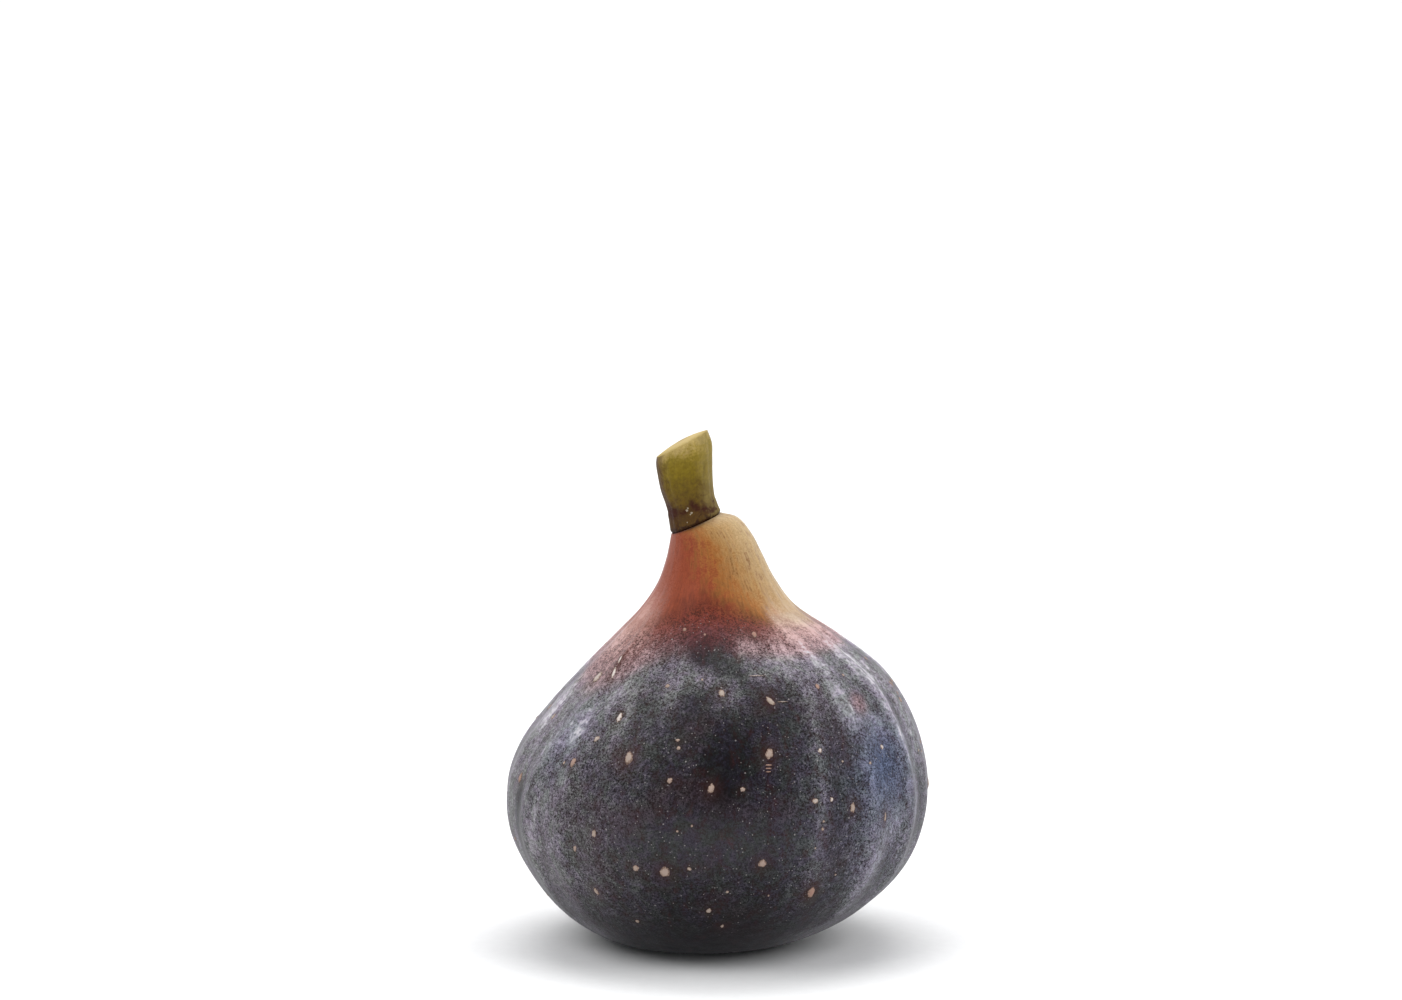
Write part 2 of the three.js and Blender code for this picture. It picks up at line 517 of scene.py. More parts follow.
# Bloom in oval patches, partly real wax and partly painted highlights on the shoulders. Each row:
# angle, distance, half angle, half distance, amount (negative: rubbed off, except the one on the
# front's middle, which is painted shade).
BLOOM_AND_HIGHLIGHT_PATCHES = np.array([
    [0, 25.5, 26, 4.6, 0.07],
    [1, 33.0, 7, 6.0, -0.04],
    [-22, 47.0, 8, 2.6, 0.32],
    [-12, 45.8, 6, 1.6, 0.26],
    [-15, 50.6, 4.5, 3.0, -0.18],
    [-23, 43.2, 4, 2.4, 0.22],
    [-1, 43.8, 6, 2.4, 0.19],
    [-40, 46.2, 7, 2.8, 0.25],
    [-44, 53.5, 8, 2.6, -0.15],
    [-46, 42.5, 6, 2.2, 0.32],
    [-36, 39.5, 3, 2.6, 0.25],
    [-53, 37.4, 6, 2.4, 0.58],
    [-54, 44.4, 4, 1.6, 0.20],
    [-62, 34.0, 4, 3.4, 0.16],
    [-78, 39.0, 8, 3.6, 0.52],
    [-63, 44.0, 5, 2.4, 0.36],
    [-78, 51.0, 9, 2.6, 0.40],
    [-71, 56.2, 7, 2.2, 0.56],
    [-57, 56.0, 6, 1.6, 0.18],
    [11, 50.8, 7, 2.3, 0.40],
    [26, 48.6, 7, 2.8, 0.52],
    [13, 47.0, 7, 2.4, 0.23],
    [31, 52.0, 7, 3.0, 0.38],
    [38, 55.5, 7, 2.4, 0.46],
    [50, 56.0, 6, 1.8, 0.30],
    [33, 43.6, 6, 3.0, 0.18],
    [48, 52.0, 5, 5.0, 0.16],
    [48, 41.0, 5, 2.4, 0.14],
    [43, 40.0, 4, 2.4, 0.18],
    [80, 46.4, 6, 2.4, -0.24],
    [56, 54.0, 8, 2.6, 0.34],
    [74, 53.0, 8, 4.0, 0.34],
    [69, 47.0, 5, 3.0, 0.26],
    [53, 37.6, 3.5, 1.8, 0.34],
    [57, 26.5, 3.5, 2.4, 0.16],
    [76, 37.5, 4, 4.4, 0.40],
])
HIDDEN_PATCHES, PATCH_SEED = 34, 23
# A painted reflection of the pale floor: pale patches where the lowest part of the flanks curves in.
# Rows as above.
PAINTED_BOUNCE_PATCHES = np.array([
    [-56, 8.0, 11, 3.4, 0.34],
    [47, 7.5, 10, 3.4, 0.34],
    [64, 12.5, 9, 4.0, 0.26],
])
# Bloom in streaks along the ribs, partly real wax and partly painted highlights on the rib crests,
# brightest on the right shoulder. Each row: angle and distance of the lower end, the same of the upper
# end, half width in degrees, amount.
BLOOM_AND_HIGHLIGHT_STREAKS = np.array([
    [-62, 17.0, -60, 23.5, 1.6, 0.22],
    [-60, 23.5, -54, 29.0, 1.6, 0.32],
    [-69, 15.0, -68, 29.0, 3.4, -0.60],
    [-62, 29.0, -66, 36.0, 3.0, -0.12],
    [-56, 10.0, -56, 21.0, 5.0, -0.10],
    [-49.5, 12.0, -48, 34.0, 2.4, 0.10],
    [28, 20.0, 28, 46.0, 2.2, 0.16],
    [42, 39.0, 40.5, 46.0, 3.2, 0.48],
    [40.5, 46.0, 40, 57.0, 4.0, 0.70],
    [56, 45.0, 56, 51.0, 7.0, 0.14],
    [65, 42.0, 62, 50.0, 4.8, 0.64],
    [61.5, 50.0, 60, 56.0, 5.5, 0.30],
    [63.5, 34.0, 63, 42.0, 3.0, 0.54],
    [67.5, 24.0, 65, 34.0, 2.8, 0.20],
    [69, 33.0, 69, 43.0, 2.4, -0.12],
    [70, 20.0, 73, 31.0, 3.6, -0.32],
    [74, 42.0, 72, 47.0, 3.6, 0.24],
    [51, 11.0, 48, 18.0, 3.0, 0.46],
    [48, 18.0, 52, 26.0, 4.2, 0.36],
    [47, 24.0, 44, 36.0, 2.2, 0.14],
    [57, 12.0, 57, 23.0, 3.0, -0.12],
    [70, 18.0, 70, 22.0, 3.0, 0.24],
])


def streak(angle, distance, low_angle, low, high_angle, high, half_width):
    """A soft streak along a straight line on the map, which fades over 4 mm at each end."""
    line = np.interp(distance, [low, high], [low_angle, high_angle])
    along = smooth_step(distance, low - 2, low + 2) * (1 - smooth_step(distance, high - 2, high + 2))
    return along * np.exp(-(turned_away(angle, line) / half_width) ** 2)


def hidden_patches():
    """Random soft patches of thicker and thinner bloom on the sides and back, as rows like the above."""
    rng = np.random.default_rng(PATCH_SEED)
    angle = rng.uniform(94, 272, HIDDEN_PATCHES)
    distance = rng.uniform(14, 54, HIDDEN_PATCHES)
    half_angle = rng.uniform(6, 12, HIDDEN_PATCHES)
    half_distance = rng.uniform(2.0, 6.5, HIDDEN_PATCHES)
    amount = rng.uniform(-0.14, 0.34, HIDDEN_PATCHES)
    return np.stack([angle, distance, half_angle, half_distance, amount], axis=-1)


def patches(angle, distance, rows):
    """The sum of soft patches, one for each row."""
    return sum(amount * patch(angle, distance, *place) for *place, amount in rows)


# Painted shade darkens the skin towards the foot, from the upper of these distances to the lower.
SHADE_FULL_BELOW, SHADE_GONE_ABOVE = 4, 23


def unshaded_share(angle, distance):
    """0 at the foot's edge and 1 well above it, for painted shade that darkens the skin towards the
    foot, and 0.8 under the foot.

    The middle of the front gets a painted shade too.
    """
    front_shade = 0.6 * patch(angle, distance, 1, 33, 7, 6)
    under = 0.8 * smooth_step(-distance, 0, 3)
    return np.clip(smooth_step(distance, SHADE_FULL_BELOW, SHADE_GONE_ABOVE) + under - front_shade, 0, 1)


def evenness(angle, distance):
    """How evenly the bloom lies: a smooth thin haze low on the front, and fairly even behind."""
    behind = smooth_step(np.abs(turned_away(angle, 0)), 66, 96)
    return np.maximum(patch(angle, distance, -2, 25.5, 30, 5.5), 0.55 * behind)


def bloom_and_painted_light(angle, distance):
    """Wax on the skin, which also carries painted light, drawn out by patches and streaks.

    It is thin on the front and gone at the foot, partly as painted shade, and thick on the flanks and
    the rib crests, partly as a painted sheen and painted highlights.
    """
    turn = turned_away(angle, 0)
    total = np.interp(turn, BLOOM_AND_SHEEN_ROUND[:, 0], BLOOM_AND_SHEEN_ROUND[:, 1])
    behind = smooth_step(np.abs(turn), 82, 92)
    crests = rib_crests(angle, distance) * rib_share(distance)
    # behind the fig the wax follows the rib crests, partly as a painted highlight on them
    total = total + behind * (crests * (0.5 + 1.1 * smooth_step(distance, 26, 44)) - 0.18)
    total = total + patches(angle, distance, BLOOM_AND_HIGHLIGHT_PATCHES) + patches(angle, distance, hidden_patches())
    for *ends, half_width, amount in BLOOM_AND_HIGHLIGHT_STREAKS:
        total = total + amount * streak(angle, distance, *ends, half_width)
    flank = smooth_step(np.abs(turn), 30, 55)
    neck = 1 - smooth_step(distance, 49 + 3 * flank, 56 + 6 * flank) * (1 - 0.2 * flank)
    # the wax fades out towards the foot, part of the painted shade there
    kept = total * smooth_step(distance, SHADE_FULL_BELOW, SHADE_GONE_ABOVE) * neck
    # the painted floor reflection goes on after the painted shade at the foot
    return np.clip(kept + patches(angle, distance, PAINTED_BOUNCE_PATCHES), 0, 1.5)


# A halo's half size: a margin in millimetres, plus a share of the lenticel's size.
HALO_MARGIN, HALO_SHARE = 0.35, 0.75


def halos(angle, distance):
    """Rusty stain round each lenticel: a bell curve a little wider than the lenticel itself."""
    per_degree = girth_width(distance) * math.pi / 360
    total = np.zeros(np.broadcast(angle, distance).shape)
    for at_angle, at_distance, length, width in LENTICELS[:, :4]:
        across = turned_away(angle, at_angle) * per_degree / (HALO_MARGIN + HALO_SHARE * width)
        along = (distance - at_distance) / (HALO_MARGIN + HALO_SHARE * length)
        total += min(1.0, 0.5 * length) * np.exp(-across ** 2 - along ** 2)
    return np.clip(total, 0, 1)


def joint_rim(angle, distance):
    """A thin dark band right under the stalk, where bark runs on over the front of the neck."""
    return patch(angle, distance, -6, SKIN_LENGTH + 0.05, 36, 0.45)


# %% [markdown]
# ## Helpers for finishes
#
# A finish is a tree of nodes that ends in one shader. These short functions each add one node and
# return its output, so a finish reads from top to bottom like a recipe. Patterns read the piece's own
# coordinates in millimetres, or numbers stored on its vertices.

# %% Node helpers


def rgb(red, green, blue):
    """A screen colour, 0 to 255, as the linear colour that shaders use (the sRGB curve)."""
    share = np.array([red, green, blue]) / 255
    linear = np.where(share <= 0.04045, share / 12.92, ((share + 0.055) / 1.055) ** 2.4)
    return (*linear.tolist(), 1.0)


def new_finish(name):
    """A material with one Principled shader. Returns the material, its node tree and the shader."""
    material = bpy.data.materials.new(name)
    material.use_nodes = True
    tree = material.node_tree
    shader = next(node for node in tree.nodes if node.type == "BSDF_PRINCIPLED")
    return material, tree, shader


def add_node(tree, kind, inputs, **settings):
    """Adds a node, applies its settings, and links or sets each input by name or number."""
    node = tree.nodes.new(kind)
    for key, value in settings.items():
        setattr(node, key, value)
    for key, value in inputs.items():
        if isinstance(value, bpy.types.NodeSocket):
            tree.links.new(value, node.inputs[key])
        else:
            node.inputs[key].default_value = value
    return node


def stored(tree, name, output="Fac"):
    """A value stored on the vertices."""
    return add_node(tree, "ShaderNodeAttribute", {}, attribute_name=name).outputs[output]


def millimetres(tree):
    """The piece's own coordinates in millimetres."""
    place = add_node(tree, "ShaderNodeTexCoord", {}).outputs["Object"]
    return add_node(tree, "ShaderNodeVectorMath", {0: place, "Scale": 1 / MM}, operation="SCALE").outputs[0]


def stretched(tree, place, x, y, z):
    """Coordinates multiplied along each axis."""
    return add_node(tree, "ShaderNodeVectorMath", {0: place, 1: (x, y, z)}, operation="MULTIPLY").outputs[0]


def noise(tree, place, scale, detail=2.0, rough=0.5, twist=0.0):
    """Soft random values around 0.5. A scale of 1 gives lumps about a millimetre across."""
    inputs = {"Vector": place, "Scale": scale, "Detail": detail, "Roughness": rough, "Distortion": twist}
    return add_node(tree, "ShaderNodeTexNoise", inputs).outputs["Fac"]


def cells(tree, place, scale, output="Distance"):
    """Distance to the nearest of many random points, or that point's random colour."""
    return add_node(tree, "ShaderNodeTexVoronoi", {"Vector": place, "Scale": scale}).outputs[output]


def between(tree, value, low, high, start=0.0, end=1.0):
    """Moves a value smoothly from start to end as it passes from low to high."""
    inputs = {"Value": value, "From Min": low, "From Max": high, "To Min": start, "To Max": end}
    node = add_node(tree, "ShaderNodeMapRange", inputs, interpolation_type="SMOOTHSTEP")
    return node.outputs["Result"]


def sums(tree, kind, first, second=0.0):
    """A sum with numbers, such as ADD, MULTIPLY, SUBTRACT or MAXIMUM."""
    return add_node(tree, "ShaderNodeMath", {0: first, 1: second}, operation=kind).outputs[0]


def varied(tree, kind, value, *changes):
    """A value with patterns added to it (ADD), or multiplied by them (MULTIPLY), one after another.

    Each change is a pattern, its low and high, and the numbers that it stands for there.
    """
    for change in changes:
        value = sums(tree, kind, value, between(tree, *change))
    return value


def mix_numbers(tree, share, first, second):
    """Two values mixed by a share from 0 to 1."""
    return add_node(tree, "ShaderNodeMix", {0: share, 2: first, 3: second}).outputs[0]


def blend(tree, share, first, second, mode="MIX"):
    """Two colours mixed by a share from 0 to 1."""
    inputs = {0: share, 6: first, 7: second}
    node = add_node(tree, "ShaderNodeMix", inputs, data_type="RGBA", blend_type=mode)
    return node.outputs[2]


def colour_steps(tree, value, steps):
    """A colour that passes through the steps, each a position from 0 to 1 and a colour."""
    ramp = add_node(tree, "ShaderNodeValToRGB", {0: value})
    points = ramp.color_ramp.elements
    while len(points) < len(steps):
        points.new(0.5)
    for point, (position, colour) in zip(points, steps):
        point.position = position
        point.color = colour
    return ramp.outputs["Color"]


def bump(tree, height, distance, strength=1.0, under=None):
    """A normal tilted by a height map, with the map's full height in millimetres."""
    inputs = {"Height": height, "Distance": distance * MM, "Strength": strength}
    if under is not None:
        inputs["Normal"] = under
    return add_node(tree, "ShaderNodeBump", inputs).outputs["Normal"]


def set_shader(tree, shader, **inputs):
    """Links or sets the shader's inputs. An underscore in a name stands for a space."""
    for key, value in inputs.items():
        socket = shader.inputs[key.replace("_", " ")]
        if isinstance(value, bpy.types.NodeSocket):
            tree.links.new(value, socket)
        else:
            socket.default_value = value


# %% [markdown]
# ## The skin's finish
#
# From inside outwards: the flesh tint of the neck, the ripening colours over it with painted shade
# that turns them near-black at the foot, streaks along the veins, rusty halos, a rim of brown bark
# under the stalk, the wax bloom with its fine grain, which also carries painted sheen, highlights and
# a floor reflection, and pale specks. A plain colour with a gloss would look like wet plastic. The
# grain is what makes fig skin look velvety, so it is made of two noises of 0.2 and 0.5 mm, and the
# bloom only settles where the grain stands up. A weak sheen and a rough gloss carry the light on the
# shoulders.

# %% Skin colours
NECK_ROSE = rgb(141, 67, 42)
NECK_OCHRE = rgb(154, 98, 49)
NECK_TAN = rgb(165, 127, 78)
NECK_CREAM = rgb(186, 160, 118)
BRICK = rgb(107, 48, 30)
BROWN = rgb(113, 71, 35)
OXBLOOD = rgb(92, 37, 27)
BURGUNDY = rgb(71, 28, 30)
PURPLE_BLACK = rgb(23, 19, 31)
GREEN_BLACK = rgb(20, 23, 22)
WARM_BLACK = rgb(32, 20, 26)
BLUE_BLACK = rgb(24, 32, 52)
# The wax colours also colour the painted sheen, highlights and floor reflection that the bloom carries.
GREEN_WAX = rgb(148, 150, 148)
VIOLET_WAX = rgb(156, 146, 160)
BLUE_WAX = rgb(118, 130, 162)
PINK_WAX = rgb(186, 157, 159)
ROSY_WAX = rgb(192, 160, 156)
ROSE_WAX = rgb(196, 158, 148)
CREAM_WAX = rgb(200, 180, 158)
THICK_WAX_AND_HIGHLIGHT = rgb(192, 188, 194)
# painted shade: the near-black that the dark skin turns to towards the foot
FOOT_SHADE_BLACK = rgb(9, 8, 11)
FLECK = rgb(112, 60, 30)
RUST = rgb(62, 34, 24)
JOINT_BROWN = rgb(52, 26, 8)
SPECK = rgb(176, 170, 168)


def skin_finish():
    """Layers of colour, each laid over the last by a share from 0 to 1, then relief and gloss."""
    material, tree, shader = new_finish("fig_skin")
    place = millimetres(tree)
    veins = stored(tree, "veins", "Vector")
    ripe, sunny, unshaded = stored(tree, "ripe"), stored(tree, "sunny"), stored(tree, "unshaded")
    bloom_and_light, halo, blue = stored(tree, "bloom_and_light"), stored(tree, "halo"), stored(tree, "blue")
    even = sums(tree, "MAXIMUM", stored(tree, "even"), between(tree, ripe, 0.15, 0.55, 0.8, 0.0))

    streaks = noise(tree, stretched(tree, veins, 1.6, 1.6, 0.22), 1.0, 3.0, 0.6)
    strands = noise(tree, stretched(tree, veins, 3.4, 3.4, 0.6), 1.0, 3.0, 0.6)
    clouds = noise(tree, place, 0.16, 3.0, 0.55)
    mottle = noise(tree, place, 0.9, 3.0, 0.6)
    clumps = noise(tree, place, 1.9, 2.0, 0.5)
    tint = noise(tree, place, 0.5, 4.0, 0.7, 0.5)
    fine = noise(tree, place, 3.6, 2.0, 0.6)
    finest = noise(tree, place, 7.5, 1.0, 0.5)
    grain = sums(tree, "ADD", sums(tree, "MULTIPLY", fine, 0.5), sums(tree, "MULTIPLY", finest, 0.5))

    # the neck, from rose on the left through ochre to cream
    tone = varied(tree, "ADD", sunny, (streaks, 0.3, 0.7, -0.06, 0.06),
                  (mottle, 0.3, 0.7, -0.07, 0.07), (grain, 0.3, 0.7, -0.03, 0.03))
    neck = colour_steps(tree, tone, [
        (0.08, NECK_ROSE),
        (0.34, NECK_OCHRE),
        (0.58, NECK_TAN),
        (0.95, NECK_CREAM),
    ])
    flecks = between(tree, strands, 0.60, 0.72)
    near = between(tree, ripe, 0.03, 0.20, 0.0, 0.42)
    neck = blend(tree, sums(tree, "MULTIPLY", flecks, near), neck, FLECK)

    # ripening colours, with a ragged edge
    edge = varied(tree, "ADD", ripe, (streaks, 0.25, 0.75, -0.06, 0.04), (strands, 0.3, 0.7, -0.05, 0.05),
                  (grain, 0.35, 0.65, -0.05, 0.05), (mottle, 0.3, 0.7, -0.08, 0.08))
    dark = blend(tree, between(tree, tint, 0.40, 0.60), GREEN_BLACK, PURPLE_BLACK)
    dark = blend(tree, between(tree, clouds, 0.46, 0.66), dark, WARM_BLACK)
    dark = blend(tree, blue, dark, BLUE_BLACK)
    # painted shade: towards the foot the dark skin turns near-black
    dark = blend(tree, unshaded, FOOT_SHADE_BLACK, dark)
    first = blend(tree, between(tree, tone, 0.1, 0.35), BRICK, BROWN)
    second = blend(tree, between(tree, edge, 0.12, 0.45), first, OXBLOOD)
    third = blend(tree, between(tree, edge, 0.40, 0.72), second, BURGUNDY)
    ripened = blend(tree, between(tree, edge, 0.66, 1.0), third, dark)
    colour = blend(tree, between(tree, edge, -0.04, 0.20), neck, ripened)

    # lighter and darker grain all over, strongest on the dark skin
    depth = between(tree, ripe, 0.0, 0.4, 0.15, 0.70)
    depth = varied(tree, "MULTIPLY", depth, (stored(tree, "even"), 0.0, 1.0, 1.0, 0.6))
    rough = sums(tree, "ADD", grain, sums(tree, "MULTIPLY", mottle, 0.4))
    swing = between(tree, rough, 0.55, 0.85, -1.0, 1.0)
    shade = sums(tree, "ADD", sums(tree, "MULTIPLY", swing, depth), 1.0)
    colour = blend(tree, 1.0, colour, shade, "MULTIPLY")

    # rusty halos round the lenticels
    colour = blend(tree, sums(tree, "MULTIPLY", halo, 0.6), colour, RUST)
    # a bark-brown rim under the stalk
    colour = blend(tree, sums(tree, "MULTIPLY", stored(tree, "joint"), 0.85), colour, JOINT_BROWN)

    # the wax bloom, with the painted sheen, highlights and floor reflection that it carries, settles on
    # the raised grain, in specks, clumps and lines, and shuns the halos
    dust = between(tree, mottle, 0.40, 0.75, 0.0, 0.035)
    dust = sums(tree, "MULTIPLY", dust, sums(tree, "MULTIPLY", unshaded, ripe))
    film_with_light = varied(tree, "MULTIPLY", bloom_and_light, (mottle, 0.32, 0.68, 0.72, 1.28))
    film_with_light = varied(tree, "MULTIPLY", sums(tree, "ADD", film_with_light, dust), (clumps, 0.32, 0.68, 0.80, 1.20),
                  (streaks, 0.32, 0.68, 0.76, 1.24), (strands, 0.32, 0.68, 0.85, 1.15))
    film_with_light = mix_numbers(tree, sums(tree, "MULTIPLY", even, 0.7), film_with_light, bloom_and_light)
    film_with_light = varied(tree, "MULTIPLY", film_with_light, (halo, 0.0, 1.0, 1.0, 0.3))
    rise = between(tree, grain, 0.3, 0.7, -1.0, 1.0)
    reach = varied(tree, "MULTIPLY", film_with_light, (film_with_light, 0.0, 1.15, 1.42, 0.0), (even, 0.0, 1.0, 1.0, 0.35))
    cover_with_light = sums(tree, "ADD", film_with_light, sums(tree, "MULTIPLY", rise, reach))
    high_wax = blend(tree, between(tree, tone, 0.2, 0.7), ROSE_WAX, CREAM_WAX)
    low_wax = blend(tree, between(tree, tint, 0.36, 0.64), GREEN_WAX, VIOLET_WAX)
    low_wax = blend(tree, between(tree, ripe, 0.82, 1.0), PINK_WAX, low_wax)
    wax_and_sheen_colour = blend(tree, between(tree, ripe, 0.15, 0.50), high_wax, ROSY_WAX)
    wax_and_sheen_colour = blend(tree, between(tree, ripe, 0.50, 0.85), wax_and_sheen_colour, low_wax)
    wax_and_sheen_colour = blend(tree, blue, wax_and_sheen_colour, BLUE_WAX)
    # where the film is thickest, mostly the painted highlights on the ribs and the painted sheen on the
    # flanks, the wax turns paler still
    thick_and_highlit = sums(tree, "MULTIPLY", between(tree, film_with_light, 0.8, 1.4), between(tree, ripe, 0.5, 0.9))
    wax_and_sheen_colour = blend(tree, thick_and_highlit, wax_and_sheen_colour, THICK_WAX_AND_HIGHLIGHT)
    colour = blend(tree, cover_with_light, colour, wax_and_sheen_colour)

    # a few pale specks of two sizes, each in its own cell and only in some cells
    sprinkled = between(tree, ripe, 0.25, 0.6, 0.0, 0.55)
    sprinkled = varied(tree, "MULTIPLY", sprinkled, (unshaded, 0.2, 1.0, 0.3, 1.0))
    for cells_per_mm, radius, empty in ((1.15, 0.16, 0.66), (2.3, 0.22, 0.50)):
        dot = between(tree, cells(tree, place, cells_per_mm), 0.3 * radius, radius, 1.0, 0.0)
        chosen = between(tree, cells(tree, place, cells_per_mm, "Color"), empty, empty + 0.2)
        specks = sums(tree, "MULTIPLY", sums(tree, "MULTIPLY", dot, chosen), sprinkled)
        colour = blend(tree, specks, colour, SPECK)

    # relief: grain, thin veins and soft unevenness
    relief = bump(tree, clouds, 0.5, 0.5)
    relief = bump(tree, streaks, 0.10, between(tree, ripe, 0.0, 0.4, 0.25, 0.7), relief)
    relief = bump(tree, grain, 0.045, 0.8, relief)
    gloss = between(tree, cover_with_light, 0.0, 0.6, 0.46, 0.66)
    set_shader(tree, shader, Base_Color=colour, Roughness=gloss, Normal=relief)
    set_shader(tree, shader, Specular_IOR_Level=0.12, IOR=1.45)
    set_shader(tree, shader, Sheen_Weight=0.15, Sheen_Roughness=0.35, Sheen_Tint=(0.92, 0.92, 1.0, 1.0))
    return material


# %% [markdown]
# ## The fruit's skin
#
# One closed surface: it starts at the bottom of the eye's hollow, runs out over the foot, which is flat
# at its edge and lightly furrowed inside it, up the sides and over the top of the neck, and closes
# under the stalk. A ball pushed into shape would crowd its vertices. Every ring has the same number of
# sides, so the whole skin is a grid with a pole at each end, and one unrolled map fits it.

# %% Build the skin
SKIN_SIDES = 440
SIDE_RINGS = 196
EYE_DEPTH, EYE_FLOOR_RADIUS, EYE_RIM_RADIUS = 0.9, 1.0, 2.2
FOOT_RINGS = 16
FOOT_FURROWS, FURROW_DEPTH = 19, 0.24
FURROWS_DEEP_FROM, FURROWS_FADE_FROM = 3.6, 6.5  # distances from the middle of the foot, in millimetres
# The rings on the seat: shares of its rim's size, distances past the rim on the map, and their sinking.
SEAT_SHARES = np.array([0.9, 0.75, 0.4, 0.1])
SEAT_DISTANCES = np.array([0.3, 0.8, 1.8, 2.7])
SEAT_SUNK = np.array([0.0, 0.0, -0.22])
MAP_MARGIN = 0.004  # share of the unrolled map's height that each pole's fan takes up
SKIN_MAPS = {
    "ripe": ripeness,
    "sunny": sunniness,
    "bloom_and_light": bloom_and_painted_light,
    "unshaded": unshaded_share,
    "even": evenness,
    "halo": halos,
    "blue": blueness,
    "joint": joint_rim,
}
VEIN_RADIUS = 9.0  # the veins' pattern is drawn on a cylinder this wide, so it gathers at the neck


def eye_and_foot_rings(angle):
    """Rings from the eye's floor to the foot's edge: a rounded hollow, then flat with shallow furrows.

    The furrows run outwards, and their number is uneven: a sine of many waves round the foot whose
    phase wanders with two slower sines.
    """
    radius = np.concatenate([
        np.linspace(0.2, EYE_FLOOR_RADIUS, 3),
        np.linspace(EYE_FLOOR_RADIUS, EYE_RIM_RADIUS, 6)[1:],
        np.linspace(EYE_RIM_RADIUS, FOOT_RADIUS, FOOT_RINGS)[1:-1],
    ])
    height = EYE_DEPTH * (1 - smooth_step(radius, EYE_FLOOR_RADIUS, EYE_RIM_RADIUS))
    left = np.stack([FOOT_CENTRE - radius, height], axis=-1)[:, None]
    right = np.stack([FOOT_CENTRE + radius, height], axis=-1)[:, None]
    depth = (1 + (FRUIT_DEPTH - 1) * radius / FOOT_RADIUS)[:, None]
    rings = ring_points(left, right, angle[None, :], depth)
    turn = np.radians(angle)
    furrows = 0.5 + 0.5 * np.sin(FOOT_FURROWS * turn + 1.6 * np.sin(2 * turn) + 0.9 * np.sin(5 * turn))
    fade = smooth_step(radius, EYE_RIM_RADIUS, FURROWS_DEEP_FROM)
    fade = fade * (1 - smooth_step(radius, FURROWS_FADE_FROM, FOOT_RADIUS))
    rings[..., 2] += FURROW_DEPTH * fade[:, None] * furrows
    return rings, radius - FOOT_RADIUS


def seat_rings(last_ring):
    """Rings that close the top: they sink a little and gather towards the middle of the seat."""
    middle = last_ring.mean(axis=0)
    return middle + (last_ring - middle) * SEAT_SHARES[:, None, None] + SEAT_SUNK


def bake_map(mesh, rings, sides, row_distance):
    """An unrolled map: the angle across, and the distance from pole to pole upwards."""
    u = np.arange(sides)
    low, high = row_distance[:-1], row_distance[1:]
    span = row_distance[-1] - row_distance[0]
    quads = np.empty((rings - 1, sides, 4, 2))
    quads[..., 0] = np.stack([u, u + 1, u + 1, u], axis=-1) / sides
    quads[..., 1] = (np.stack([low, low, high, high], axis=-1)[:, None] - row_distance[0]) / span
    quads[..., 1] = MAP_MARGIN + (1 - 2 * MAP_MARGIN) * quads[..., 1]
    fans = np.empty((2, sides, 3, 2))
    fans[0, ..., 0] = np.stack([u + 1, u, u + 0.5], axis=-1) / sides
    fans[1, ..., 0] = np.stack([u, u + 1, u + 0.5], axis=-1) / sides
    fans[0, ..., 1] = [MAP_MARGIN, MAP_MARGIN, 0.0]
    fans[1, ..., 1] = [1 - MAP_MARGIN, 1 - MAP_MARGIN, 1.0]
    layer = mesh.uv_layers.new(name="OFBake")
    corners = np.concatenate([quads.reshape(-1, 2), fans.reshape(-1, 2)])
    layer.uv.foreach_set("vector", corners.astype(np.float32).ravel())


def make_skin():
    """Stacks the rings of the eye, foot, sides and seat, closes both ends and stores the tints."""
    angle = np.arange(SKIN_SIDES) * 360 / SKIN_SIDES
    distance = np.linspace(0, SKIN_LENGTH, SIDE_RINGS)
    below, below_distance = eye_and_foot_rings(angle)
    sides = fruit_surface(angle[None, :], distance[:, None])
    above = seat_rings(sides[-1])
    rings = np.concatenate([below, sides, above])
    row_distance = np.concatenate([below_distance, distance, SKIN_LENGTH + SEAT_DISTANCES])
    eye_pole = np.array([FOOT_CENTRE, 0.0, EYE_DEPTH])
    seat_pole = above[-1].mean(axis=0)
    points = np.concatenate([rings.reshape(-1, 3), [eye_pole, seat_pole]])
    faces = faces_of_copies(1, len(points), *tube_parts(len(rings), SKIN_SIDES))
    skin = new_piece("skin", points, faces, "root", ["fruit"], [skin_finish()])
    bake_map(skin.data, len(rings), SKIN_SIDES, row_distance)

    at_angle, at_distance = np.meshgrid(angle, row_distance)

    def per_vertex(values):
        """The grid's values, then each pole's as the mean of its nearest ring."""
        return np.concatenate([values.ravel(), [values[0].mean(), values[-1].mean()]])

    for name, tint in SKIN_MAPS.items():
        set_values(skin, name, per_vertex(tint(at_angle, at_distance)))
    turn = np.radians(at_angle)
    wrapped = [VEIN_RADIUS * np.sin(turn), -VEIN_RADIUS * np.cos(turn), at_distance]
    set_values(skin, "veins", np.stack([per_vertex(part) for part in wrapped], axis=-1))


make_skin()

# %% [markdown]
# ## Lenticels
#
# Each lenticel is a low dome of cork, longer along the fruit than across, with a slightly wavy rim. Its
# points are laid on the skin's map and lifted along the skin's normal, which keeps every one square to
# the skin. The rim sinks a hair into the skin, so no gap shows. All of them are one mesh, because they
# share one finish: crumbly cork, dark at the rim and pale in the middle.

# %% Build the lenticels
LENTICEL_SIDES = 22
LENTICEL_RINGS = np.array([1.0, 0.8, 0.5, 0.2])
LENTICEL_HEIGHT = 0.13
LENTICEL_SUNK = 0.05
RIM_SEED = 5


